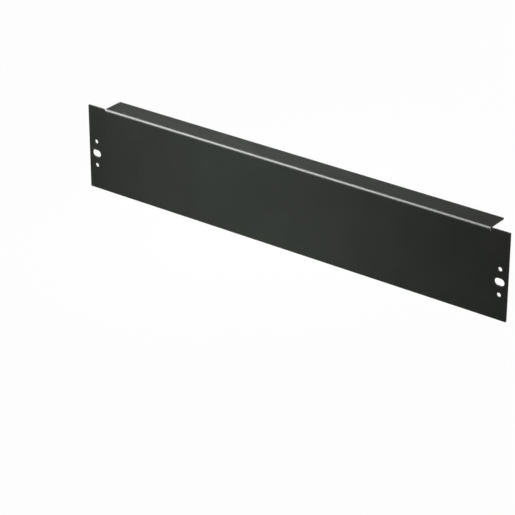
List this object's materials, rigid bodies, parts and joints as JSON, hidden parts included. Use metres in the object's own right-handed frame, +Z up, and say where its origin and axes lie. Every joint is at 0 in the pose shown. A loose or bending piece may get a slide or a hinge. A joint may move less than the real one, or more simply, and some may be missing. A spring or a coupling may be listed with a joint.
{
  "type": "rack blanking panel",
  "caption": "Wide flat sheet-metal rack blanking panel with a folded top flange, a level slot at each end and small round holes above and below it.",
  "frame": {"origin": "midway between the two rack slots, on the rear face of the sheet, which is the face that the rack's uprights carry", "axes": "+X along the panel's length, to the right as seen from the front; +Y square to the panel, from its front into the rack; +Z up"},
  "size_m": [0.4826, 0.024, 0.0881],
  "materials": {
    "powder_coated_steel": "satin charcoal powder coat with a fine even texture over cold-rolled steel"
  },
  "bodies": {
    "root": {"blanking_panel": "powder_coated_steel"}
  },
  "joints": []
}
